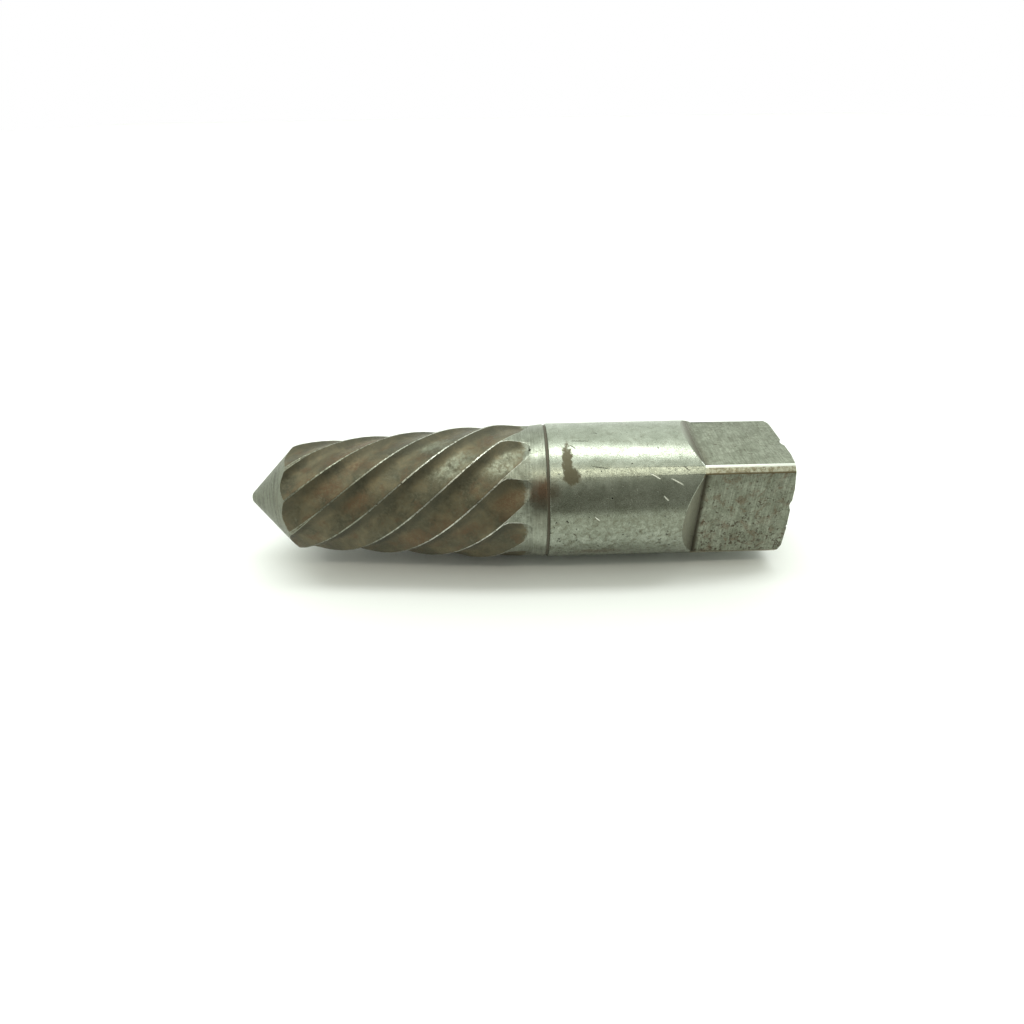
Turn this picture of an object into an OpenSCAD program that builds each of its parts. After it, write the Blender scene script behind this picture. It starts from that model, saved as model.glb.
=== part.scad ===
// Spiral-flute screw extractor, the largest common hand size, lying on its shank.
// It is one bar of hardened steel.  Each module below is one machined zone of that bar,
// cut apart at the planes where the work on the real bar changes.
// The tool lies along X with its point at -X, and Z is up.

/* [Overall] */
// Overall length, from the blunt tip to the drive end
overall_l = 111.7; // [90:0.1:140]
// Diameter of the ground shank
shank_d = 28.575; // [23.5:0.005:35]

/* [Point] */
// Diameter of the blunt end of the point
tip_d = 2.1; // [1:0.1:6]
// Included angle of the point
point_angle = 90; // [70:1:120]
// Ridge diameter where the point meets the flutes
small_d = 22.6; // [18.8:0.1:27.2]

/* [Left-hand flutes] */
// Number of flutes
flute_count = 10; // [8:1:12]
// Length from the base of the point to where the ridges reach the shank diameter
taper_l = 41; // [32:0.5:43]
// Length from the base of the point to the end of the flutes
flute_l = 48.4; // [45:0.1:60]
// Lead of one full turn of a flute
flute_lead = 98.6; // [75:0.1:125]
// Depth of a flute below its ridges
flute_depth = 0.85; // [0.5:0.05:1.2]
// Depth that is left where a flute runs out into the collar
flute_end_depth = 0.45; // [0.1:0.05:0.6]
// How far the deepest line of a flute leans to its steep side
flute_lean = 0.35; // [0:0.05:0.5]
// Width of the land on top of a ridge
land_w = 0.2; // [0.1:0.05:0.5]
// Width of the land where a ridge starts at the point
start_land_w = 0.9; // [0.3:0.1:1.5]
// Length over which that land narrows to a ridge
start_l = 5; // [3:0.5:8]
// Length over which the flutes narrow as they run out
runout_l = 5.2; // [3:0.1:7]

/* [Collar and groove] */
// Length of the turned collar, from the flutes to the groove
collar_l = 3.3; // [2:0.1:5]
// How far the thin end of the collar lies below the shank surface
neck_step = 0.43; // [0.2:0.01:0.6]
// How far the thick end of the collar lies below the shank surface
collar_step = 0.12; // [0.05:0.01:0.3]
// Width of the groove in front of the shank
groove_w = 0.55; // [0.3:0.05:1]
// Depth of the groove below the shank surface
groove_depth = 0.35; // [0.2:0.05:0.8]

/* [Drive square] */
// Distance across the flats of the drive square
square_af = 21.43; // [17.8:0.01:23]
// Length of the full-depth flats
flat_l = 18.9; // [14:0.1:22]
// Angle of the ramp that the cutter leaves where a flat runs out into the shank
runout_angle = 41; // [30:1:60]
// How far the turned chamfer around the drive end reaches in from the corners
end_chamfer_w = 0.8; // [0.3:0.1:2]
// Length of that chamfer along the bar
end_chamfer_l = 0.6; // [0.3:0.1:2]

/* [Hidden] */

overlap = 1;
// How far the plain cone reaches below the deepest hollow, and the plain neck behind the flutes
plain_margin = 0.3;
neck_l = 0.4;

shank_r = shank_d / 2;
small_r = small_d / 2;
tip_r = tip_d / 2;
point_slope = tan(point_angle / 2);

// Stations along the bar, measured from the blunt tip
base_x = (small_r - tip_r) / point_slope;
plain_r = small_r - flute_depth - plain_margin;
plain_x = (plain_r - tip_r) / point_slope;
taper_end_x = base_x + taper_l;
flute_end_x = base_x + flute_l;
runout_x = flute_end_x - runout_l;
collar_x = flute_end_x + neck_l;
groove_x = flute_end_x + collar_l;
shank_x = groove_x + groove_w;
flat_x = overall_l - flat_l;

// Height of the flats above the bar's axis
flat_h = square_af / 2;

// The ridges: radius of the blank at a station, and the turn of the helix there
pitch_angle = 360 / flute_count;
phase_at_tip = 9.3;
function mix(a, b, t) = a + (b - a) * min(max(t, 0), 1);
function ease(t) = let (c = min(max(t, 0), 1)) c * c * (3 - 2 * c);
drop_x = min(taper_end_x, runout_x);
function blank_r(x) =
    mix(small_r, shank_r, (x - base_x) / taper_l)
    - neck_step * ease((x - drop_x) / (flute_end_x - drop_x));
function turn(x) = phase_at_tip - 360 * x / flute_lead;

// The land, as a share of the pitch: wide at the point, a thin edge along the taper,
// and wide again where the steep side of each flute turns to run along the bar
function share(w, x) = w / (2 * PI * blank_r(x) / flute_count);
function land(x) =
    mix(share(start_land_w, x), share(land_w, x), (x - base_x) / start_l)
    + max(x - runout_x, 0) * 360 / flute_lead / pitch_angle;
function depth(x) =
    x > flute_end_x ? 0 : mix(flute_depth, flute_end_depth, (x - runout_x) / runout_l);

// Points across one pitch: two on the land, then the hollow of the flute
flute_steps = [0.12, 0.3, 0.5, 0.7, 0.88];
function across(x) = let (w = land(x)) concat([0, w], [for (t = flute_steps) w + (1 - w) * t]);
function hollow(t) = sin(180 * t) * (1 + flute_lean * cos(180 * t));
function hollows() = concat([0, 0], [for (t = flute_steps) hollow(t)]);
pitch_points = len(flute_steps) + 2;
ring_points = flute_count * pitch_points;

// One point of the fluted surface, and a ring of them
function on_bar(x, a, r) = [x, r * cos(a), r * sin(a)];
function ring(x) = [
    for (f = [0 : flute_count - 1], k = [0 : pitch_points - 1])
        let (a = turn(x) + pitch_angle * (f + across(x)[k]))
        on_bar(x, a, blank_r(x) - depth(x) * hollows()[k])
];
// The ring where the flutes break out on the point, so each point of it lies on the cone
function cone_ring() = [
    for (f = [0 : flute_count - 1], k = [0 : pitch_points - 1])
        let (
            r = small_r - flute_depth * hollows()[k],
            x = (r - tip_r) / point_slope,
            a = turn(x) + pitch_angle * (f + across(base_x)[k])
        )
        on_bar(x, a, r)
];
function plain_ring() = [
    for (f = [0 : flute_count - 1], k = [0 : pitch_points - 1])
        on_bar(plain_x, turn(plain_x) + pitch_angle * (f + across(base_x)[k]), plain_r)
];

// Stations of the rings: close at both ends of the flutes, even along the taper
function even(a, b, n) = [for (i = [1 : n]) a + (b - a) * i / n];
start_steps = 4;
taper_steps = 22;
runout_steps = 6;
stations = concat(
    even(base_x, base_x + start_l, start_steps),
    even(base_x + start_l, runout_x, taper_steps),
    even(runout_x, flute_end_x, runout_steps),
    [collar_x]
);

// A closed skin through a list of rings, with a flat cap at each end
module skin(rings) {
    n = len(rings[0]);
    last = len(rings) - 1;
    sides = [
        for (j = [0 : last - 1], i = [0 : n - 1])
            let (a = j * n + i, b = j * n + (i + 1) % n)
            each [[a, b, b + n], [a, b + n, a + n]]
    ];
    front = [for (i = [n - 1 : -1 : 0]) i];
    back = [for (i = [0 : n - 1]) last * n + i];
    polyhedron(
        points = [for (r = rings, p = r) p],
        faces = [for (f = concat(sides, [front, back])) [for (i = [len(f) - 1 : -1 : 0]) f[i]]]
    );
}

// Puts a zone in its place: the bar's middle over the origin, the shank on the ground
module lay_down() translate([-overall_l / 2, 0, shank_r]) children();

// Turns an outline of [station, radius] points about the bar's axis
module turned(outline) {
    rotate([0, 90, 0])
        rotate_extrude($fn = 128)
            polygon([for (p = outline) [p[1], p[0]]]);
}

// The blunt 90 degree point that starts the tool in the drilled hole
module point() {
    color([0.50, 0.50, 0.44])
        lay_down()
            turned([[0, 0], [0, tip_r], [plain_x, plain_r], [plain_x, 0]]);
}

// The tapered body with its left-hand flutes, and the ridges that bite
module fluted_taper() {
    color([0.34, 0.31, 0.25])
        lay_down()
            skin(concat([plain_ring(), cone_ring()], [for (x = stations) ring(x)]));
}

// The short turned collar behind the flutes, and the groove that parts it from the shank
module collar() {
    neck_r = blank_r(collar_x);
    collar_r = shank_r - collar_step;
    root_r = shank_r - groove_depth;
    color([0.52, 0.53, 0.48])
        lay_down()
            turned([
                [collar_x, 0],
                [collar_x, neck_r],
                [groove_x, collar_r],
                [groove_x, root_r],
                [shank_x, root_r],
                [shank_x, 0]
            ]);
}

// The cut of one flat: a straight pass, and the ramp where the cutter came out of the bar
module flat_cut() {
    cut_w = shank_d + 2 * overlap;
    top = shank_r + overlap;
    end = overall_l + overlap;
    ramp_x = flat_x - (top - flat_h) / tan(runout_angle);
    translate([0, cut_w / 2, 0])
        rotate([90, 0, 0])
            linear_extrude(cut_w)
                polygon([[flat_x, flat_h], [ramp_x, top], [end, top], [end, flat_h]]);
}

// The four cuts of the square
module square_cuts() {
    for (side = [0 : 3])
        rotate([90 * side, 0, 0]) flat_cut();
}

// The plain ground shank, with the run-outs of the flats in its end
module shank() {
    color([0.60, 0.60, 0.54])
        lay_down()
            difference() {
                turned([[shank_x, 0], [shank_x, shank_r], [flat_x, shank_r], [flat_x, 0]]);
                square_cuts();
            }
}

// The square that a wrench drives: four milled flats between corner lands of the bar
module drive_square() {
    end_x = overall_l - end_chamfer_l;
    end_r = shank_r - end_chamfer_w;
    color([0.56, 0.56, 0.50])
        lay_down()
            difference() {
                turned([
                    [flat_x, 0],
                    [flat_x, shank_r],
                    [end_x, shank_r],
                    [overall_l, end_r],
                    [overall_l, 0]
                ]);
                square_cuts();
            }
}

point();
fluted_taper();
collar();
shank();
drive_square();
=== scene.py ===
from math import cos, hypot, pi, radians, sin, tan

import bpy
from mathutils import Matrix, Vector, noise


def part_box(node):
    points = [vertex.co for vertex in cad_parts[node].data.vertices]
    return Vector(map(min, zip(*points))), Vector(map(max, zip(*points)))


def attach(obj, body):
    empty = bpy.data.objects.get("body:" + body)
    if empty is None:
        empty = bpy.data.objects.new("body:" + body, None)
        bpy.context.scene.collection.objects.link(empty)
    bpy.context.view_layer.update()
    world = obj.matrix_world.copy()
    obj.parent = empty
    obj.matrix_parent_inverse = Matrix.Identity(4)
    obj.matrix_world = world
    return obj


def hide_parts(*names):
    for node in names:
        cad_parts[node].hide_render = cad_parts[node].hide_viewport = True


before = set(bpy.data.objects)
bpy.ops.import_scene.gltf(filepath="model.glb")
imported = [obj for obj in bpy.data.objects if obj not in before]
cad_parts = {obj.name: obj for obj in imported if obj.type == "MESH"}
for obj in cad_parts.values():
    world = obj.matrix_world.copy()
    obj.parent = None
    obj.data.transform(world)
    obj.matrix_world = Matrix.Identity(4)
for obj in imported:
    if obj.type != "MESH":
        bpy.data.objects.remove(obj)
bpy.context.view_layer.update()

# ---------------------------------------------------------------------------------------
# The view: a close camera above the front of the bar, turned a little to its axis, with
# the whole tool across the middle of the frame.
# ---------------------------------------------------------------------------------------
mm = 0.001
camera_place = Vector((-2.57, -110.27, 84.14)) * mm
camera_yaw = radians(1.04)
camera_dip = radians(34.35)
camera_roll = radians(-0.84)

bpy.ops.object.select_all(action="DESELECT")
bpy.ops.object.camera_add(location=camera_place)
camera = bpy.context.object
camera.name = "camera"
camera.rotation_euler = (
    Matrix.Rotation(-camera_yaw, 3, "Z")
    @ Matrix.Rotation(pi / 2 - camera_dip, 3, "X")
    @ Matrix.Rotation(camera_roll, 3, "Z")
).to_euler()
camera.data.lens = 21.22
camera.data.sensor_width = 36
camera.data.clip_start = 1 * mm
camera.data.clip_end = 100
bpy.context.scene.camera = camera

# ---------------------------------------------------------------------------------------
# The studio: a plain pale table, a large soft light overhead, a smaller warm one in front
# of it, and a room that is bright behind the table and dim on the camera's side.
# ---------------------------------------------------------------------------------------
def new_material(name):
    """An empty node material with its shader and output, ready for a finish."""
    made = bpy.data.materials.new(name)
    made.use_nodes = True
    made.node_tree.nodes.clear()
    shader = made.node_tree.nodes.new("ShaderNodeBsdfPrincipled")
    output = made.node_tree.nodes.new("ShaderNodeOutputMaterial")
    made.node_tree.links.new(shader.outputs["BSDF"], output.inputs["Surface"])
    return made, shader


floor_size = 4.0
floor_front = -0.11
bpy.ops.object.select_all(action="DESELECT")
bpy.ops.mesh.primitive_plane_add(size=floor_size, location=(0, floor_front + floor_size / 2, 0))
floor = bpy.context.object
floor.name = "floor"
floor_paint, floor_shader = new_material("white_table")
floor_shader.inputs["Base Color"].default_value = (0.87, 0.88, 0.87, 1)
floor_shader.inputs["Roughness"].default_value = 0.6
floor_shader.inputs["Specular IOR Level"].default_value = 0.2
floor.data.materials.append(floor_paint)


softbox_away = 5.0
softbox_w = 6.0


def soft_light(name, elevation, depth, watts, colour):
    """A softbox in the plane across the bar; its elevation is counted from the camera's side."""
    angle = radians(elevation)
    place = Vector((0, -softbox_away * cos(angle), softbox_away * sin(angle)))
    bpy.ops.object.select_all(action="DESELECT")
    bpy.ops.object.light_add(type="AREA", location=place)
    lamp = bpy.context.object
    lamp.name = name
    lamp.data.shape = "RECTANGLE"
    lamp.data.size = softbox_w
    lamp.data.size_y = depth
    lamp.data.energy = watts
    lamp.data.color = colour
    lamp.rotation_euler = (-place).to_track_quat("-Z", "Y").to_euler()


soft_light("overhead_softbox", 99, 1.0, 118, (0.97, 1.0, 0.98))
soft_light("front_softbox", 61, 0.6, 42, (1.0, 0.95, 0.78))

room = bpy.data.worlds.new("room")
room.use_nodes = True
bpy.context.scene.world = room
room_nodes, room_links = room.node_tree.nodes, room.node_tree.links
room_nodes.clear()
way = room_nodes.new("ShaderNodeTexCoord")
split = room_nodes.new("ShaderNodeSeparateXYZ")
room_links.new(way.outputs["Generated"], split.inputs["Vector"])
front_to_back = room_nodes.new("ShaderNodeMapRange")
front_to_back.interpolation_type = "SMOOTHSTEP"
front_to_back.inputs["From Min"].default_value = -1.1
front_to_back.inputs["From Max"].default_value = 0.35
room_links.new(split.outputs["Y"], front_to_back.inputs["Value"])
walls = room_nodes.new("ShaderNodeMix")
walls.data_type = "RGBA"
walls.inputs["A"].default_value = (0.19, 0.185, 0.15, 1)
walls.inputs["B"].default_value = (1.22, 1.30, 1.20, 1)
room_links.new(front_to_back.outputs["Result"], walls.inputs["Factor"])
seen = room_nodes.new("ShaderNodeLightPath")
shown = room_nodes.new("ShaderNodeMix")
shown.data_type = "RGBA"
shown.inputs["B"].default_value = (1, 1, 1, 1)
room_links.new(seen.outputs["Is Camera Ray"], shown.inputs["Factor"])
room_links.new(walls.outputs["Result"], shown.inputs["A"])
air = room_nodes.new("ShaderNodeBackground")
room_links.new(shown.outputs["Result"], air.inputs["Color"])
room_end = room_nodes.new("ShaderNodeOutputWorld")
room_links.new(air.outputs["Background"], room_end.inputs["Surface"])
bpy.context.scene.view_settings.view_transform = "Standard"

# ---------------------------------------------------------------------------------------
# The point: a plain cone of 90 degrees, turned on the front of the bar, with a small blunt
# tip. The tool's turning marks still ring it, and its base is stained a little brown.
# ---------------------------------------------------------------------------------------
tip_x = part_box("point")[0].x
plain_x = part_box("point")[1].x
plain_r = (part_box("point")[1].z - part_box("point")[0].z) / 2
shank_r = (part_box("shank")[1].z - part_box("shank")[0].z) / 2
axis_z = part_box("shank")[0].z + shank_r
around = 240
tip_r = 1.05 * mm
tip_round = 0.12 * mm
cone_rings = 12


class Finish:
    """A steel finish: its shader, and short ways to add patterns to it."""

    def __init__(self, name):
        self.material, self.shader = new_material(name)
        self.tree = self.material.node_tree
        self.place = self.add("ShaderNodeTexCoord").outputs["Object"]

    def add(self, kind, **settings):
        made = self.tree.nodes.new(kind)
        for key, value in settings.items():
            setattr(made, key, value)
        return made

    def feed(self, socket, value):
        if isinstance(value, bpy.types.NodeSocket):
            self.tree.links.new(value, socket)
        else:
            socket.default_value = value

    def math(self, operation, a, b=0.0, c=0.0, clamp=False):
        made = self.add("ShaderNodeMath", operation=operation, use_clamp=clamp)
        for socket, value in zip(made.inputs, (a, b, c)):
            self.feed(socket, value)
        return made.outputs[0]

    def stretched(self, scale, turn=(0, 0, 0), shift=(0, 0, 0)):
        made = self.add("ShaderNodeMapping")
        self.feed(made.inputs["Vector"], self.place)
        made.inputs["Scale"].default_value = scale
        made.inputs["Rotation"].default_value = turn
        made.inputs["Location"].default_value = shift
        return made.outputs[0]

    def noise(self, size, detail=3.0, rough=0.55, warp=0.0, where=None):
        """Cloudy pattern; size is the width of one cloud in metres."""
        made = self.add("ShaderNodeTexNoise")
        self.feed(made.inputs["Vector"], where or self.place)
        made.inputs["Scale"].default_value = 1 / size
        made.inputs["Detail"].default_value = detail
        made.inputs["Roughness"].default_value = rough
        made.inputs["Distortion"].default_value = warp
        return made.outputs[0]

    def part(self, value, low, high, smooth=True):
        """0 below low and 1 above high."""
        made = self.add("ShaderNodeMapRange")
        made.interpolation_type = "SMOOTHSTEP" if smooth else "LINEAR"
        self.feed(made.inputs["Value"], value)
        made.inputs["From Min"].default_value = low
        made.inputs["From Max"].default_value = high
        return made.outputs["Result"]

    def blend(self, share, a, b, how="MIX"):
        made = self.add("ShaderNodeMix", data_type="RGBA", blend_type=how)
        self.feed(made.inputs["Factor"], share)
        for socket, value in ((made.inputs["A"], a), (made.inputs["B"], b)):
            self.feed(socket, (*value, 1) if isinstance(value, tuple) else value)
        return made.outputs["Result"]

    def between(self, share, a, b):
        made = self.add("ShaderNodeMix", data_type="FLOAT")
        self.feed(made.inputs["Factor"], share)
        self.feed(made.inputs["A"], a)
        self.feed(made.inputs["B"], b)
        return made.outputs["Result"]

    def spot(self, centre, reach, ragged=0.0, turn=(0, 0, 0), core=0.75):
        """1 inside an ellipsoid of these half sizes in mm and 0 outside; its edge may be ragged.

        core is the share of its reach where the spot begins to fade."""
        made = self.add("ShaderNodeMapping", vector_type="TEXTURE")
        self.feed(made.inputs["Vector"], self.place)
        made.inputs["Location"].default_value = Vector(centre) * mm
        made.inputs["Rotation"].default_value = turn
        made.inputs["Scale"].default_value = Vector(reach) * mm
        far = self.add("ShaderNodeVectorMath", operation="LENGTH")
        self.feed(far.inputs[0], made.outputs[0])
        edge = far.outputs["Value"]
        if ragged:
            noise_here = self.math("SUBTRACT", self.noise(1.3 * mm, 6.0, 0.75, 0.8), 0.5)
            edge = self.math("ADD", edge, self.math("MULTIPLY", noise_here, ragged))
        return self.math("SUBTRACT", 1.0, self.part(edge, core, 1.1))

    def scratch(self, start, end, width=0.16):
        """A fine mark between two places, in mm."""
        along = Vector(end) - Vector(start)
        middle = (Vector(start) + Vector(end)) / 2
        reach = (along.length / 2, width / 2, width / 2)
        return self.spot(middle, reach, turn=along.to_track_quat("X", "Z").to_euler())

    def bump(self, height, depth, under=None):
        """Relief: depth is how far the pattern stands from 0 to 1, in metres."""
        made = self.add("ShaderNodeBump")
        made.inputs["Strength"].default_value = 1.0
        made.inputs["Distance"].default_value = depth
        self.feed(made.inputs["Height"], height)
        if under is not None:
            self.feed(made.inputs["Normal"], under)
        return made.outputs["Normal"]

    def axis(self):
        """Place along the bar, across it and above its axis."""
        xyz = self.add("ShaderNodeSeparateXYZ")
        self.feed(xyz.inputs["Vector"], self.place)
        up = self.math("SUBTRACT", xyz.outputs["Z"], axis_z)
        return xyz.outputs["X"], xyz.outputs["Y"], up

    def finish(self, colour, roughness, normal, metallic=1.0):
        self.feed(self.shader.inputs["Base Color"], colour)
        self.feed(self.shader.inputs["Roughness"], roughness)
        self.feed(self.shader.inputs["Normal"], normal)
        self.feed(self.shader.inputs["Metallic"], metallic)
        return self.material


def turned_marks(look, spacing):
    """Fine rings round the bar: a pattern that changes along the axis and hardly round it."""
    fine = look.noise(spacing, 2.0, 0.6, where=look.stretched((1, 0.05, 0.05)))
    coarse = look.noise(spacing * 4, 2.0, 0.5, where=look.stretched((1, 0.03, 0.03)))
    return look.math("ADD", look.math("MULTIPLY", fine, 0.6), look.math("MULTIPLY", coarse, 0.4))


def turned_steel(name, dark, light, brown, brown_from, brown_to):
    """Steel as it left the lathe, tarnished with age, with brown stain towards one end."""
    look = Finish(name)
    marks = turned_marks(look, 0.16 * mm)
    clouds = look.noise(2.5 * mm, 4.0, 0.6, 0.4)
    specks = look.noise(0.35 * mm, 3.0, 0.7)
    colour = look.blend(look.part(clouds, 0.3, 0.7), dark, light)
    colour = look.blend(look.part(marks, 0.4, 0.6), look.blend(0.35, colour, dark), light)
    station = look.axis()[0]
    stain = look.part(station, brown_from, brown_to)
    stain = look.math("MULTIPLY", stain, look.part(clouds, 0.35, 0.65))
    colour = look.blend(look.math("MULTIPLY", stain, 0.7), colour, brown)
    colour = look.blend(look.part(specks, 0.62, 0.75), colour, (0.06, 0.055, 0.04))
    # Lighter band on the cone next to the scalloped edge: partly burnished steel, partly a painted
    # highlight along that edge.
    burnish_and_painted_highlight = look.part(station, plain_x - 1.3 * mm, plain_x - 0.2 * mm)
    colour = look.blend(look.math("MULTIPLY", burnish_and_painted_highlight, look.part(clouds, 0.25, 0.55)), colour, light)
    roughness = look.between(look.part(specks, 0.3, 0.7), 0.38, 0.55)
    relief = look.bump(marks, 0.05 * mm, look.bump(specks, 0.03 * mm))
    return look.finish(colour, roughness, relief, 0.9)


def lay_bar(piece, name):
    """Names a finished piece, fixes its place in its mesh and smooths its round faces."""
    bpy.ops.object.select_all(action="DESELECT")
    piece.select_set(True)
    bpy.context.view_layer.objects.active = piece
    piece.name = name
    piece.data.name = name
    bpy.ops.object.transform_apply(location=True, rotation=True, scale=True)
    bpy.ops.object.shade_smooth_by_angle(angle=radians(28))


cone_l = plain_x - tip_x
bpy.ops.object.select_all(action="DESELECT")
bpy.ops.mesh.primitive_cone_add(
    vertices=around, radius1=plain_r, radius2=tip_r, depth=cone_l,
    location=(tip_x + cone_l / 2, 0, axis_z), rotation=(0, -pi / 2, 0),
)
point = bpy.context.object
lay_bar(point, "turned_point")
bpy.ops.object.mode_set(mode="EDIT")
bpy.ops.mesh.select_all(action="DESELECT")
bpy.ops.object.mode_set(mode="OBJECT")
for edge in point.data.edges:
    ends = [point.data.vertices[i].co.x for i in edge.vertices]
    edge.select = max(ends) < tip_x + 0.01 * mm
bpy.ops.object.mode_set(mode="EDIT")
bpy.ops.mesh.bevel(offset=tip_round, segments=3, affect="EDGES")
bpy.ops.mesh.select_all(action="SELECT")
for k in range(1, cone_rings):
    bpy.ops.mesh.bisect(
        plane_co=(tip_x + cone_l * k / cone_rings, 0, axis_z), plane_no=(1, 0, 0)
    )
    bpy.ops.mesh.select_all(action="SELECT")
bpy.ops.object.mode_set(mode="OBJECT")
cone_finish = turned_steel(
    "turned_cone_steel", (0.095, 0.10, 0.07), (0.19, 0.20, 0.15), (0.11, 0.085, 0.05),
    plain_x - 3 * mm, plain_x + 1 * mm,
)
point.data.materials.append(cone_finish)
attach(point, "root")
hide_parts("point")

# ---------------------------------------------------------------------------------------
# The fluted taper: ten shallow left-hand flutes milled along the tapered bar, so that only
# narrow ridges are left to bite. Dark with oxide and rust in the hollows, with painted shade on
# the steep side of each hollow and painted light on its gentle side; the ridges are worn
# bright, with a painted highlight along them.
# ---------------------------------------------------------------------------------------
flute_count = 10
flute_lead = 98.6 * mm
flute_depth = 0.85 * mm
flute_end_depth = 0.45 * mm
flute_lean = 0.35
small_r = 11.3 * mm
taper_l = 41 * mm
flute_l = 48.7 * mm
runout_l = 5.2 * mm
neck_step = 0.43 * mm
land_w = 0.15 * mm
end_round = 1.3 * mm
end_bow = 0.8 * mm
worn_edge = 0.2 * mm
worn_l = 1.6 * mm
turn_l = 2.4 * mm
start_l = 5 * mm
phase_at_tip = 9.3
start_lands = (0.25, 0.6, 0.9, 0.25, 0.9, 0.2, 0.9, 0.25, 0.6, 0.9)
flute_steps = (
    0.014, 0.03, 0.055, 0.09, 0.14, 0.20, 0.27, 0.35, 0.43, 0.51,
    0.59, 0.67, 0.74, 0.81, 0.87, 0.92, 0.955, 0.978,
)
collar_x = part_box("collar")[0].x - tip_x
base_s = small_r - tip_r
plain_s = cone_l
taper_end_s = base_s + taper_l
flute_end_s = base_s + flute_l
runout_s = flute_end_s - runout_l
pitch = 2 * pi / flute_count


def share(value):
    return min(max(value, 0.0), 1.0)


def ease(value):
    t = share(value)
    return t * t * (3 - 2 * t)


def blank_r(s):
    """Radius of the turned blank, before the flutes, at a station from the tip."""
    grown = small_r + (shank_r - small_r) * share((s - base_s) / taper_l)
    drop_s = min(taper_end_s, runout_s)
    return grown - neck_step * ease((s - drop_s) / (flute_end_s - drop_s))


def helix(s):
    return radians(phase_at_tip) - 2 * pi * s / flute_lead


def land(s, ridge):
    """Width of the land on a ridge, as a share of the pitch."""
    pitch_w = pitch * blank_r(s)
    start = start_lands[ridge] * mm / pitch_w
    thin = land_w / pitch_w
    width = start + (thin - start) * share((s - base_s) / start_l)
    turned_l = max(s - runout_s + turn_l / 2, 0)
    grown = turned_l * turned_l / (2 * turn_l) if turned_l < turn_l else turned_l - turn_l / 2
    grown += 0.5 * mm * share(turned_l / runout_l) ** 3
    return width + grown * 2 * pi / flute_lead / pitch


def hollow(t):
    return sin(pi * t) * (1 + flute_lean * cos(pi * t))


def cut_end(t):
    """Station where a flute ends, t of the way across it: its end is a rounded tongue."""
    return flute_end_s - end_bow * (2 * t - 1) ** 2


def cut_depth(s, t):
    if s > cut_end(t):
        return 0.0
    depth = flute_depth + (flute_end_depth - flute_depth) * share((s - runout_s) / runout_l)
    rounding = share((s - cut_end(t) + end_round) / end_round)
    return depth * (1 - rounding * rounding) ** 0.5


columns = 3 + len(flute_steps)
rings_on_cone = 5
ring_gap = 0.24 * mm
rings_on_flutes = round((flute_end_s - base_s) / ring_gap)
rings = rings_on_cone + rings_on_flutes + 2

bpy.ops.object.select_all(action="DESELECT")
bpy.ops.mesh.primitive_grid_add(
    x_subdivisions=rings - 1, y_subdivisions=flute_count * columns, size=1,
)
fluted = bpy.context.object
fluted.name = "fluted_body"
skin = fluted.data
edge_gap = [0.0] * len(skin.vertices)
side_of = [0.0] * len(skin.vertices)
plain = [0.0] * len(skin.vertices)
for v in skin.vertices:
    ring = round((v.co.x + 0.5) * (rings - 1))
    column = round((v.co.y + 0.5) * flute_count * columns)
    ridge, k = divmod(column % (flute_count * columns), columns)
    t = 0.0 if k < 3 else flute_steps[k - 3]
    dip = hollow(t)
    edge_s = base_s - flute_depth * dip - worn_edge
    if ring <= rings_on_cone:
        s = plain_s + (edge_s - plain_s) * ring / rings_on_cone
        width = land(base_s, ridge)
        radius = tip_r + s
    elif ring <= rings_on_cone + rings_on_flutes:
        even_s = (ring - rings_on_cone) * (flute_end_s - base_s) / rings_on_flutes
        s = base_s + even_s - (flute_depth * dip + worn_edge) * (1 - ease(even_s / (3 * mm)))
        width = land(s, ridge)
        radius = blank_r(s) - cut_depth(s, t) * dip
        lump = noise.noise(Vector((s / (1.4 * mm), ridge + 3 * t, 0.5 * t)))
        worn = ease(even_s / (2 * mm)) * ease((flute_end_s - s) / (3 * mm))
        radius += worn * (0.035 * mm * lump - (0.05 * mm if k < 3 else 0.0))
        radius -= worn_edge * (1 - share(even_s / worn_l)) ** 2
    else:
        s = collar_x
        width = land(flute_end_s, ridge)
        radius = blank_r(s)
    share_across = (0.0, width / 2, width)[k] if k < 3 else width + (1 - width) * t
    angle = helix(s) + pitch * (ridge + share_across)
    v.co = (tip_x + s, radius * cos(angle), axis_z + radius * sin(angle))
    width_mm = width * pitch * radius / mm
    gap = min(t, 1 - t) * (1 - width) * pitch * radius
    edge_gap[v.index] = (0.0, width_mm / 2, 0.0)[k] if k < 3 else gap / mm
    # Next to the scalloped edge the gap is cut short, so the bright ridge colour paints a thin line along
    # it: worn steel with a painted highlight.
    if rings_on_cone - 1 <= ring <= rings_on_cone + 2:
        from_brink = abs(ring - rings_on_cone) * ring_gap / mm
        edge_gap[v.index] = min(edge_gap[v.index], 0.05 + from_brink)
    side_of[v.index] = cos(pi * t)
    end_blend = ease((s - cut_end(t) + 2.2 * mm) / (2.4 * mm))
    wide = share((width_mm - 0.3) / 0.5) if k < 3 else 0.0
    plain[v.index] = max(end_blend, wide if s > runout_s - turn_l else 0.5 * wide)

for name, values in (("edge_gap", edge_gap), ("side", side_of), ("plain", plain)):
    skin.attributes.new(name, "FLOAT", "POINT").data.foreach_set("value", values)


seam_gap = 0.002 * mm


def close_tube(piece):
    """Joins the long seam, caps both ends and turns the faces outwards."""
    bpy.ops.object.mode_set(mode="EDIT")
    bpy.ops.mesh.select_all(action="SELECT")
    bpy.ops.mesh.remove_doubles(threshold=seam_gap)
    bpy.ops.mesh.select_all(action="DESELECT")
    bpy.ops.mesh.select_non_manifold(extend=False)
    bpy.ops.mesh.fill_holes(sides=0)
    bpy.ops.mesh.select_all(action="SELECT")
    bpy.ops.mesh.normals_make_consistent(inside=False)
    bpy.ops.object.mode_set(mode="OBJECT")


close_tube(fluted)
lay_bar(fluted, "fluted_body")
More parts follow.
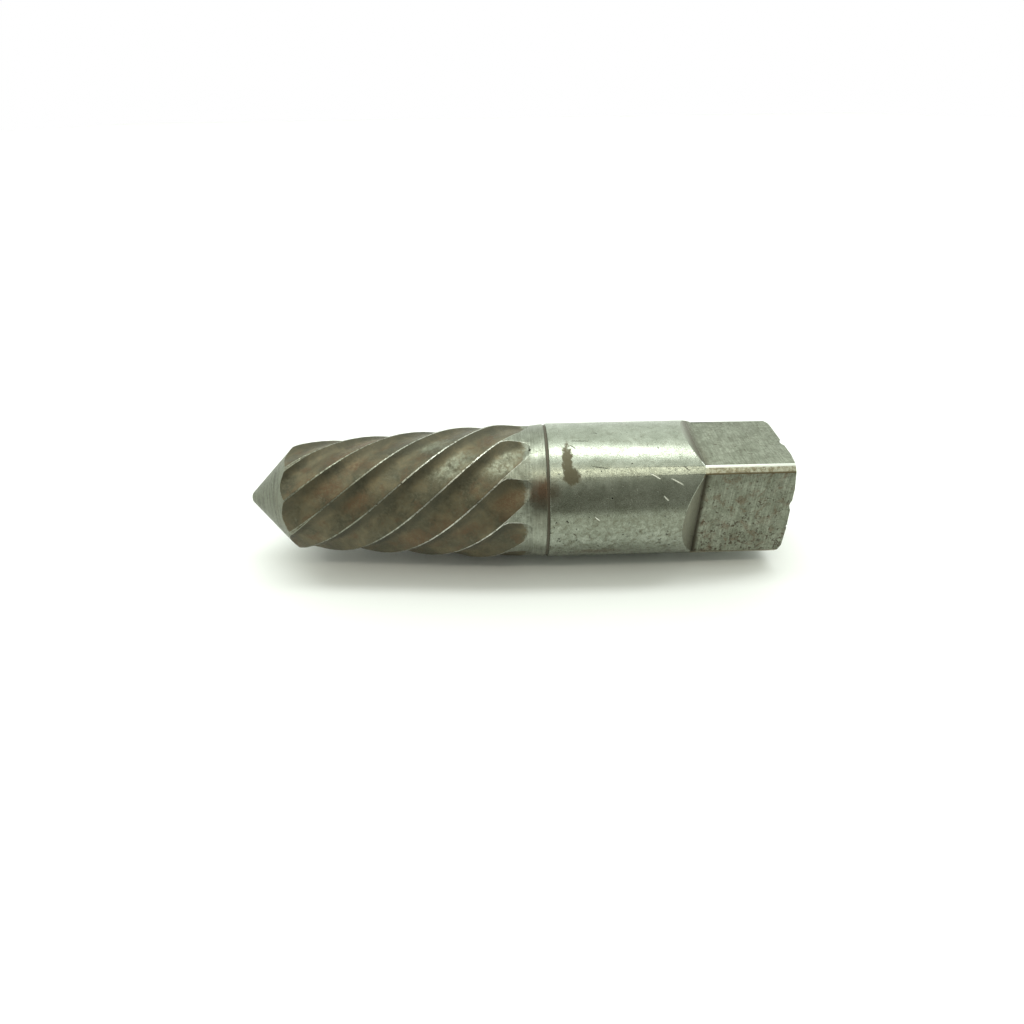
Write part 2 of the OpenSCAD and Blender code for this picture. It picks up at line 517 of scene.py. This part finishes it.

# Places of the strongest rust and of the palest patches, in mm; the pale ones are worn steel kept to the
# upward side of the hollows as painted light
rust_places = (
    (-33.7, -4.7, 25.0), (-37.9, -8.9, 21.9), (-12.2, -12.9, 14.1), (-1.9, -12.2, 20.0),
    (-19.5, -12.3, 10.9), (-29.0, 0.6, 26.6), (-32.4, -10.6, 19.8),
)
pale_places = (
    (-11.5, -6.3, 26.0), (-13.3, -8.2, 24.7), (-1.1, -5.9, 26.6), (0.3, -4.1, 27.4),
    (-16.1, -2.0, 27.1), (-3.5, -8.2, 25.3),
)


def collar_look(look):
    """Turned and stained steel: its colour, roughness and height of the turning marks."""
    marks = turned_marks(look, 0.13 * mm)
    clouds = look.noise(3 * mm, 4.0, 0.6, 0.5)
    specks = look.noise(0.3 * mm, 3.0, 0.7)
    colour = look.blend(look.part(clouds, 0.3, 0.7), (0.235, 0.25, 0.20), (0.36, 0.385, 0.315))
    grooved = look.blend(0.4, colour, (0.07, 0.065, 0.045))
    colour = look.blend(look.part(marks, 0.35, 0.62), grooved, colour)
    colour = look.blend(look.part(specks, 0.58, 0.75), colour, (0.08, 0.075, 0.05))
    stain = look.spot((5.6, -12.0, 21.4), (4.2, 3.2, 3.8), 1.2, core=0.1)
    colour = look.blend(look.math("MULTIPLY", stain, 0.8), colour, (0.17, 0.092, 0.052))
    # Painted reflection: a darker patch across the middle of the collar's front, where the dim room is
    # reflected.
    painted_dark_reflection_patch = look.spot((5.6, -13.6, 17.4), (3.6, 2.5, 4.6), 0.8, core=0.3)
    colour = look.blend(look.math("MULTIPLY", painted_dark_reflection_patch, 0.5), colour, (0.10, 0.095, 0.065))
    colour = look.blend(look.spot((3.0, -5.2, 27.0), (0.3, 0.3, 0.3)), colour, (0.03, 0.03, 0.02))
    roughness = look.between(look.part(specks, 0.3, 0.7), 0.26, 0.42)
    return colour, roughness, marks


look = Finish("fluted_steel")
gap = look.add("ShaderNodeAttribute", attribute_name="edge_gap").outputs["Fac"]
side = look.add("ShaderNodeAttribute", attribute_name="side").outputs["Fac"]
plain_land = look.add("ShaderNodeAttribute", attribute_name="plain").outputs["Fac"]
station = look.axis()[0]
clouds = look.noise(5 * mm, 4.0, 0.6, 0.5)
elsewhere = look.stretched((1, 1, 1), shift=(0.3, 0.1, 0.2))
blotches = look.noise(3 * mm, 4.0, 0.6, 0.5, where=elsewhere)
grain = look.noise(0.6 * mm, 4.0, 0.7, 0.3)
grit = look.noise(0.16 * mm, 3.0, 0.7)
colour = look.blend(look.part(clouds, 0.35, 0.65), (0.068, 0.064, 0.038), (0.155, 0.130, 0.074))
colour = look.blend(look.part(grain, 0.4, 0.75), colour, (0.13, 0.122, 0.078))
rust = look.math("MULTIPLY", look.part(blotches, 0.50, 0.66), 0.5)
for place in rust_places:
    near = look.spot(place, (6, 3.6, 3.6), 2.0, core=0.2)
    rust = look.math("MAXIMUM", rust, look.math("MULTIPLY", near, 0.7))
rust = look.math("MULTIPLY", rust, look.part(grain, 0.25, 0.6))
rust = look.math("MULTIPLY", rust, look.part(side, 0.95, 0.1))
colour = look.blend(rust, colour, (0.125, 0.068, 0.032))
# Pale patches: worn steel, but held to the gentle, upward-facing side of each hollow, where they also
# stand for painted light.
pale = look.math("MULTIPLY", look.part(blotches, 0.40, 0.28), look.part(side, 0.3, -0.3))
pale = look.math("MULTIPLY", pale, 0.35)
for place in pale_places:
    pale = look.math("MAXIMUM", pale, look.spot(place, (5.2, 3.0, 3.0), 1.8, core=0.15))
pale = look.math("MULTIPLY", pale, look.part(look.noise(1.1 * mm, 5.0, 0.75), 0.30, 0.62))
pale = look.math("MULTIPLY", pale, look.part(side, 0.8, 0.2))
colour = look.blend(look.math("MULTIPLY", pale, 0.85), colour, (0.24, 0.25, 0.185))
# Painted shade: the steep side of each hollow, under its upper ridge, is darkened where it faces away from
# the light.
painted_shade_on_steep_side = look.math("MULTIPLY", look.part(side, 0.4, 0.97), look.part(plain_land, 0.3, 0.0))
colour = look.blend(look.math("MULTIPLY", painted_shade_on_steep_side, 0.5), colour, (0.034, 0.033, 0.020))
collar_colour, collar_roughness, marks = collar_look(look)
edge_of_plain = look.math("MULTIPLY", look.math("SUBTRACT", grain, 0.5), 1.3)
plain_steel = look.part(look.math("ADD", plain_land, edge_of_plain), 0.2, 0.8)
colour = look.blend(plain_steel, colour, collar_colour)
# Bright ridges: worn bare steel along each ridge and the scalloped edge, with a painted highlight that
# grows brighter towards the collar.
ridge_wear_and_highlight = look.math("ADD", gap, look.math("MULTIPLY", look.math("SUBTRACT", grain, 0.5), 0.4))
bright = look.math("SUBTRACT", 1.0, look.part(ridge_wear_and_highlight, 0.03, 0.14))
bright = look.math("MULTIPLY", bright, look.part(plain_land, 1.0, 0.75))
ridge_steel = look.blend(
    look.part(station, -36 * mm, -6 * mm), (0.25, 0.26, 0.205), (0.60, 0.61, 0.54)
)
broken = look.part(look.noise(0.5 * mm, 3.0, 0.7), 0.3, 0.52)
colour = look.blend(look.math("MULTIPLY", bright, broken), colour, ridge_steel)
roughness = look.between(pale, look.between(look.part(grain, 0.3, 0.7), 0.42, 0.62), 0.36)
roughness = look.between(plain_steel, roughness, collar_roughness)
roughness = look.between(bright, roughness, 0.3)
ringed = look.math("MULTIPLY", marks, plain_steel)
relief = look.bump(grit, 0.03 * mm, look.bump(grain, 0.08 * mm, look.bump(ringed, 0.035 * mm)))
metal = look.between(plain_steel, look.between(pale, 0.6, 0.95), 1.0)
fluted_finish = look.finish(colour, roughness, relief, look.between(bright, metal, 1.0))
skin.materials.append(fluted_finish)
skin.materials.append(cone_finish)
cone_slope = radians(40)
for face in skin.polygons:
    on_slope = face.center.x < tip_x + base_s + 0.05 * mm and -face.normal.x > sin(cone_slope)
    face.material_index = 1 if on_slope else 0
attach(fluted, "root")
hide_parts("fluted_taper")

# ---------------------------------------------------------------------------------------
# The collar: a short turned neck behind the flutes, a little below the shank, with a thin
# groove that the parting tool left in front of the shank. Turned rings, and a rusty stain.
# ---------------------------------------------------------------------------------------
shank_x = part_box("shank")[0].x
neck_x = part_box("collar")[0].x
neck_r = blank_r(collar_x)
collar_r = shank_r - 0.12 * mm
groove_w = 0.55 * mm
groove_r = shank_r - 0.35 * mm
groove_x = shank_x - groove_w
groove_lip_l = 0.12 * mm
groove_lip_h = 0.08 * mm
groove_slope = 0.06 * mm
collar_outline = (
    (neck_x, 0.0), (neck_x, neck_r), (groove_x - groove_lip_l, collar_r),
    (groove_x, collar_r - groove_lip_h), (groove_x + groove_slope, groove_r),
    (shank_x, groove_r), (shank_x, 0.0),
)


def turned_piece(name, outline):
    """Spins an outline of (place along the bar, radius) about the bar's axis."""
    bpy.ops.object.select_all(action="DESELECT")
    bpy.ops.mesh.primitive_plane_add(size=1 * mm)
    piece = bpy.context.object
    bpy.ops.object.mode_set(mode="EDIT")
    bpy.ops.mesh.select_all(action="SELECT")
    bpy.ops.mesh.merge(type="CENTER")
    first_x, first_r = outline[0]
    bpy.ops.transform.translate(value=(first_x, 0, axis_z + first_r))
    for (last_x, last_r), (next_x, next_r) in zip(outline, outline[1:]):
        step = (next_x - last_x, 0, next_r - last_r)
        bpy.ops.mesh.extrude_region_move(TRANSFORM_OT_translate={"value": step})
    bpy.ops.mesh.select_all(action="SELECT")
    bpy.ops.mesh.spin(steps=around, angle=2 * pi, center=(0, 0, axis_z), axis=(1, 0, 0))
    bpy.ops.mesh.select_all(action="SELECT")
    bpy.ops.mesh.remove_doubles(threshold=seam_gap)
    bpy.ops.mesh.normals_make_consistent(inside=False)
    bpy.ops.object.mode_set(mode="OBJECT")
    lay_bar(piece, name)
    return piece


collar = turned_piece("turned_collar", collar_outline)
look = Finish("collar_steel")
colour, roughness, marks = collar_look(look)
station = look.axis()[0]
in_groove = look.part(station, groove_x - 0.03 * mm, groove_x + 0.04 * mm)
colour = look.blend(look.math("MULTIPLY", in_groove, 0.85), colour, (0.085, 0.07, 0.045))
roughness = look.between(in_groove, roughness, 0.6)
relief = look.bump(marks, 0.035 * mm)
metal = look.between(in_groove, 1.0, 0.5)
collar.data.materials.append(look.finish(colour, roughness, relief, metal))
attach(collar, "root")
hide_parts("collar")

# ---------------------------------------------------------------------------------------
# The shank: the plain ground bar behind the groove, with the ramps in its end where the four
# flats run out. Satin ground steel, scratched, pitted and stained in places, with painted shade
# towards its underside and at the foot of the ramps, and a painted dark reflection band.
# ---------------------------------------------------------------------------------------
flat_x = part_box("shank")[1].x
end_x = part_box("drive_square")[1].x
flat_h = (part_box("drive_square")[1].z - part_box("drive_square")[0].z) / 2
runout_angle = radians(41)
end_chamfer_l = 0.6 * mm
end_chamfer_w = 0.8 * mm
groove_edge = 0.1 * mm
bar_outline = (
    (shank_x, 0.0), (shank_x, shank_r - groove_edge), (shank_x + groove_edge, shank_r),
    (end_x - end_chamfer_l, shank_r), (end_x, shank_r - end_chamfer_w), (end_x, 0.0),
)
bar = turned_piece("bar_end", bar_outline)


def take_away(piece, cutter):
    """Cuts one solid out of another and removes the cutter."""
    bpy.ops.object.select_all(action="DESELECT")
    piece.select_set(True)
    bpy.context.view_layer.objects.active = piece
    cut = piece.modifiers.new("cut", "BOOLEAN")
    cut.operation = "DIFFERENCE"
    cut.solver = "EXACT"
    cut.object = cutter
    bpy.ops.object.modifier_apply(modifier="cut")
    bpy.data.objects.remove(cutter)


cutter_h = 5 * mm
ramp_l = cutter_h / tan(runout_angle)
cutter_x = flat_x - ramp_l
cutter_l = end_x + 2 * mm - cutter_x
cutter_w = 2.4 * shank_r
top_skew = radians(7)
skew_y = -9.5 * mm
for side_number in range(4):
    bpy.ops.object.select_all(action="DESELECT")
    bpy.ops.mesh.primitive_cube_add(
        size=1, location=(cutter_x + cutter_l / 2, 0, axis_z + flat_h + cutter_h / 2),
        scale=(cutter_l, cutter_w, cutter_h),
    )
    cutter = bpy.context.object
    bpy.ops.object.transform_apply(location=True, rotation=True, scale=True)
    bpy.ops.object.mode_set(mode="EDIT")
    bpy.ops.mesh.select_all(action="DESELECT")
    bpy.ops.object.mode_set(mode="OBJECT")
    for v in cutter.data.vertices:
        v.select = v.co.x < cutter_x + mm and v.co.z < axis_z + flat_h + mm
    bpy.ops.object.mode_set(mode="EDIT")
    bpy.ops.transform.translate(value=(ramp_l, 0, 0))
    if side_number == 0:
        bpy.ops.mesh.select_all(action="DESELECT")
        bpy.ops.object.mode_set(mode="OBJECT")
        for v in cutter.data.vertices:
            v.select = v.co.x < flat_x + mm
        bpy.ops.object.mode_set(mode="EDIT")
        bpy.ops.transform.rotate(
            value=top_skew, orient_axis="Z", center_override=(flat_x, skew_y, axis_z)
        )
    bpy.ops.mesh.select_all(action="SELECT")
    bpy.ops.transform.rotate(
        value=side_number * pi / 2, orient_axis="X", center_override=(0, 0, axis_z)
    )
    bpy.ops.object.mode_set(mode="OBJECT")
    take_away(bar, cutter)

# The end was sawn a little off square, and its near top corner is beaten back further:
# how far past the end each of the two planes crosses the axis, and the way it faces
end_planes = ((0.17 * mm, (1, -0.044, 0.052)), (2.19 * mm, (1, -0.17, 0.17)))
bpy.ops.object.select_all(action="DESELECT")
bar.select_set(True)
bpy.context.view_layer.objects.active = bar
bpy.ops.object.mode_set(mode="EDIT")
for past_end, lean in end_planes:
    bpy.ops.mesh.select_all(action="SELECT")
    bpy.ops.mesh.bisect(
        plane_co=(end_x + past_end, 0, axis_z), plane_no=lean, use_fill=True, clear_outer=True,
    )
bpy.ops.object.mode_set(mode="OBJECT")

edge_round = 0.11 * mm
# Dents in the edges of the end: (x from the end, y, z) and radius, in mm
dents = (((1.30, -0.7, 25.3), 2.2), ((1.22, -11.1, 16.1), 2.0), ((0.5, -11.0, 10.9), 0.8))
for (dx, y, z), dent_r in dents:
    bpy.ops.object.select_all(action="DESELECT")
    bpy.ops.mesh.primitive_ico_sphere_add(
        subdivisions=3, radius=dent_r * mm, location=(end_x + dx * mm, y * mm, z * mm)
    )
    take_away(bar, bpy.context.object)

bpy.ops.object.select_all(action="DESELECT")
bar.select_set(True)
bpy.context.view_layer.objects.active = bar
bpy.ops.object.mode_set(mode="EDIT")
bpy.ops.mesh.select_all(action="SELECT")
bpy.ops.mesh.remove_doubles(threshold=0.06 * mm)
bpy.ops.mesh.select_all(action="DESELECT")
bpy.ops.mesh.edges_select_sharp(sharpness=radians(27))
bpy.ops.mesh.bevel(offset=edge_round, segments=2, affect="EDGES", clamp_overlap=False)
bpy.ops.object.mode_set(mode="OBJECT")
for v in bar.data.vertices:
    v.co.x = min(v.co.x, end_x)

bar.data.materials.clear()
# Both ends of each scratch, in mm
bright_scratches = (
    ((30.07, -11.05, 23.35), (32.54, -11.89, 22.21)),
    ((26.05, -10.33, 24.16), (28.12, -11.14, 23.23)),
    ((28.66, -12.89, 20.44), (29.65, -13.30, 19.52)),
    ((15.35, -14.08, 16.72), (16.37, -14.20, 15.82)),
)
dark_scratches = (
    ((10.88, -3.78, 28.07), (15.04, -3.92, 28.03)),
    ((10.98, -4.84, 27.73), (12.07, -5.82, 27.34)),
    ((32.77, -9.43, 25.02), (33.85, -10.19, 24.31)),
    ((11.2, -14.18, 12.9), (12.0, -14.18, 12.2)),
)
look = Finish("ground_steel")
up = look.axis()[2]
grind = look.noise(0.12 * mm, 2.0, 0.5, where=look.stretched((1, 0.08, 0.08)))
clouds = look.noise(3.5 * mm, 4.0, 0.6, 0.4)
mottle = look.noise(1.1 * mm, 4.0, 0.65, 0.4)
specks = look.noise(0.35 * mm, 4.0, 0.75)
pits = look.noise(0.9 * mm, 3.0, 0.6)
low = look.part(up, 6 * mm, -2 * mm)
colour = look.blend(look.part(clouds, 0.3, 0.7), (0.30, 0.325, 0.265), (0.41, 0.44, 0.37))
# Painted reflection: a dark band across the shank around the height of its axis, where the dim front of
# the room is reflected.
painted_dark_reflection_band = look.math("MULTIPLY", look.part(up, 5.5 * mm, 3.5 * mm), look.part(up, -4 * mm, 2 * mm))
# Painted shade: the shank's colour darkens towards its underside.
colour = look.blend(look.math("MULTIPLY", low, 0.42), colour, (0.17, 0.19, 0.14))
colour = look.blend(look.math("MULTIPLY", painted_dark_reflection_band, 0.5), colour, (0.15, 0.155, 0.11))
mottled = look.math("MULTIPLY", look.part(mottle, 0.47, 0.66), look.between(low, 0.25, 0.7))
colour = look.blend(mottled, colour, (0.13, 0.125, 0.085))
bleached = look.math("MULTIPLY", look.part(mottle, 0.46, 0.36), look.between(low, 0.0, 0.32))
colour = look.blend(bleached, colour, (0.50, 0.53, 0.44))
colour = look.blend(look.math("MULTIPLY", look.part(specks, 0.5, 0.72), 0.5), colour, (0.10, 0.095, 0.065))
pitted = look.part(look.math("ADD", pits, look.math("MULTIPLY", low, 0.055)), 0.68, 0.75)
colour = look.blend(pitted, colour, (0.035, 0.033, 0.022))
upper_stain = look.spot((10.2, -8.0, 26.0), (1.1, 4.2, 3.4), 2.2)
lower_stain = look.spot((10.9, -10.6, 23.8), (1.8, 1.7, 2.1), 2.0)
stain = look.math("MAXIMUM", upper_stain, lower_stain)
colour = look.blend(look.math("MULTIPLY", stain, 0.9), colour, (0.088, 0.074, 0.038))
rusty = look.spot((6.9, -12.3, 21.6), (2.6, 2.4, 3.0), 1.2, core=0.1)
rusty = look.math("MAXIMUM", rusty, look.spot((17.0, -12.6, 6.6), (7.0, 1.6, 1.5), 1.6, core=0.2))
colour = look.blend(look.math("MULTIPLY", rusty, 0.6), colour, (0.125, 0.085, 0.045))
cuts = look.scratch((14.51, -9.09, 25.31), (18.35, -9.62, 24.85), 0.2)
for start, end in dark_scratches:
    cuts = look.math("MAXIMUM", cuts, look.scratch(start, end, 0.24))
for start, end in bright_scratches:
    cuts = look.math("MAXIMUM", cuts, look.scratch(start, end, 0.34))
shine = look.scratch(*bright_scratches[0], 0.26)
for start, end in bright_scratches[1:]:
    shine = look.math("MAXIMUM", shine, look.scratch(start, end, 0.26))
colour = look.blend(look.math("MULTIPLY", cuts, 0.75), colour, (0.07, 0.065, 0.045))
colour = look.blend(shine, colour, (0.85, 0.86, 0.76))
roughness = look.between(look.part(specks, 0.3, 0.7), 0.22, 0.36)
roughness = look.between(look.math("MAXIMUM", stain, shine), roughness, 0.55)
relief = look.bump(grind, 0.010 * mm, look.bump(specks, 0.014 * mm, look.bump(pitted, -0.04 * mm)))
relief = look.bump(cuts, -0.05 * mm, relief)
ground_finish = look.finish(colour, roughness, relief, look.between(stain, 1.0, 0.7))

look = Finish("milled_steel")
station, across, up = look.axis()
along_cut = look.stretched((1, 0.08, 0.05), (0, 0, radians(8)))
cutter_marks = look.noise(0.3 * mm, 2.0, 0.6, where=along_cut)
clouds = look.noise(3 * mm, 4.0, 0.6, 0.4)
specks = look.noise(0.4 * mm, 4.0, 0.75)
pits = look.noise(0.8 * mm, 4.0, 0.65)
front = look.part(across, -8.5 * mm, -10.4 * mm)
low = look.part(up, 3 * mm, -8 * mm)
mottle = look.noise(1.4 * mm, 4.0, 0.65, 0.4)
colour = look.blend(look.part(clouds, 0.3, 0.7), (0.235, 0.255, 0.195), (0.345, 0.37, 0.295))
colour = look.blend(look.math("MULTIPLY", front, 0.16), colour, (0.13, 0.135, 0.09))
colour = look.blend(look.math("MULTIPLY", look.part(mottle, 0.45, 0.7), 0.35), colour, (0.10, 0.092, 0.06))
scored = look.blend(0.28, colour, (0.06, 0.055, 0.035))
colour = look.blend(look.part(cutter_marks, 0.4, 0.62), scored, colour)
colour = look.blend(look.math("MULTIPLY", look.part(specks, 0.5, 0.7), 0.45), colour, (0.07, 0.065, 0.042))
more_pits = look.math("MULTIPLY", look.math("MULTIPLY", front, low), 0.07)
pitted = look.part(look.math("ADD", pits, more_pits), 0.6, 0.7)
colour = look.blend(look.math("MULTIPLY", pitted, 0.75), colour, (0.075, 0.055, 0.036))
rust = look.math("MULTIPLY", look.part(look.noise(2.2 * mm, 5.0, 0.7, 0.6), 0.50, 0.66), front)
colour = look.blend(look.math("MULTIPLY", rust, 0.55), colour, (0.13, 0.085, 0.05))
# Painted shade: the ramps where the flats run out get their own dark colour, darkening further towards
# their foot.
ramp = look.part(station, flat_x + 0.1 * mm, flat_x - 0.25 * mm)
ramp_top = look.part(station, flat_x - 0.3 * mm, flat_x - 3.2 * mm)
ramp_steel = look.blend(front, (0.10, 0.088, 0.058), (0.115, 0.11, 0.078))
upper_ramp_steel = look.blend(front, (0.31, 0.325, 0.265), (0.20, 0.20, 0.15))
ramp_steel = look.blend(ramp_top, ramp_steel, upper_ramp_steel)
colour = look.blend(look.math("MULTIPLY", ramp, 0.85), colour, ramp_steel)
# Painted shade: a dark band painted in the corner at the foot of each ramp, running onto its flat.
from_foot = look.math("ABSOLUTE", look.math("SUBTRACT", station, flat_x + 0.15 * mm))
foot_l = look.between(front, 2.2 * mm, 1.0 * mm)
foot = look.math("SUBTRACT", 1.0, look.math("DIVIDE", from_foot, foot_l), clamp=True)
foot = look.math("MULTIPLY", look.part(foot, 0.0, 1.0), look.between(front, 0.5, 0.9))
painted_foot_shade = look.blend(front, (0.10, 0.085, 0.055), (0.035, 0.029, 0.018))
colour = look.blend(foot, colour, painted_foot_shade)
roughness = look.between(look.part(specks, 0.3, 0.7), 0.42, 0.6)
roughness = look.between(ramp, roughness, 0.4)
relief = look.bump(specks, 0.05 * mm, look.bump(pitted, -0.08 * mm))
relief = look.bump(cutter_marks, 0.05 * mm, relief)
milled_finish = look.finish(colour, roughness, relief)

look = Finish("land_steel")
clouds = look.noise(0.9 * mm, 4.0, 0.7, 0.5)
specks = look.noise(0.35 * mm, 4.0, 0.75)
across, up = look.axis()[1:]
colour = look.blend(look.part(clouds, 0.40, 0.60), (0.50, 0.50, 0.39), (0.27, 0.245, 0.165))
colour = look.blend(look.part(specks, 0.55, 0.7), colour, (0.09, 0.08, 0.05))
# Painted highlight: a bright line along the top edge of the upper corner lands.
colour = look.blend(look.part(up, 10.3 * mm, 10.5 * mm), colour, (0.85, 0.88, 0.82))
colour = look.blend(look.part(across, -10.45 * mm, -10.65 * mm), colour, (0.15, 0.125, 0.075))
relief = look.bump(clouds, 0.08 * mm, look.bump(specks, 0.05 * mm))
land_finish = look.finish(colour, look.between(look.part(specks, 0.3, 0.7), 0.3, 0.5), relief)

for finish in (ground_finish, milled_finish, land_finish):
    bar.data.materials.append(finish)
for face in bar.data.polygons:
    radial = hypot(face.center.y, face.center.z - axis_z)
    cut_face = radial < shank_r - 0.06 * mm and face.center.x > flat_x - 6 * mm
    on_square = face.center.x > flat_x - 0.5 * mm
    face.material_index = 1 if cut_face else 2 if on_square else 0


def keep_half(piece, name, place, keep_front):
    """A copy of the bar's end, cut off square at one place and closed."""
    half = piece.copy()
    half.data = piece.data.copy()
    bpy.context.collection.objects.link(half)
    bpy.ops.object.select_all(action="DESELECT")
    half.select_set(True)
    bpy.context.view_layer.objects.active = half
    bpy.ops.object.mode_set(mode="EDIT")
    bpy.ops.mesh.select_all(action="SELECT")
    bpy.ops.mesh.bisect(
        plane_co=(place, 0, axis_z), plane_no=(1, 0, 0), use_fill=True,
        clear_outer=keep_front, clear_inner=not keep_front,
    )
    bpy.ops.mesh.select_all(action="SELECT")
    bpy.ops.mesh.dissolve_degenerate(threshold=0.004 * mm)
    bpy.ops.mesh.remove_doubles(threshold=0.004 * mm)
    bpy.ops.mesh.normals_make_consistent(inside=False)
    bpy.ops.object.mode_set(mode="OBJECT")
    half.data.validate()
    lay_bar(half, name)
    return half


shank = keep_half(bar, "ground_shank", flat_x, True)
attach(shank, "root")
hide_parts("shank")

# ---------------------------------------------------------------------------------------
# The drive square: four flats milled on the end of the shank, for a tap wrench. The corner
# lands between them are still the ground shank, and the end is chamfered and knocked about.
# ---------------------------------------------------------------------------------------
square = keep_half(bar, "drive_square_end", flat_x, False)
bpy.data.objects.remove(bar)
for face in square.data.polygons:
    if face.material_index == 0:
        face.material_index = 2
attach(square, "root")
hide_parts("drive_square")
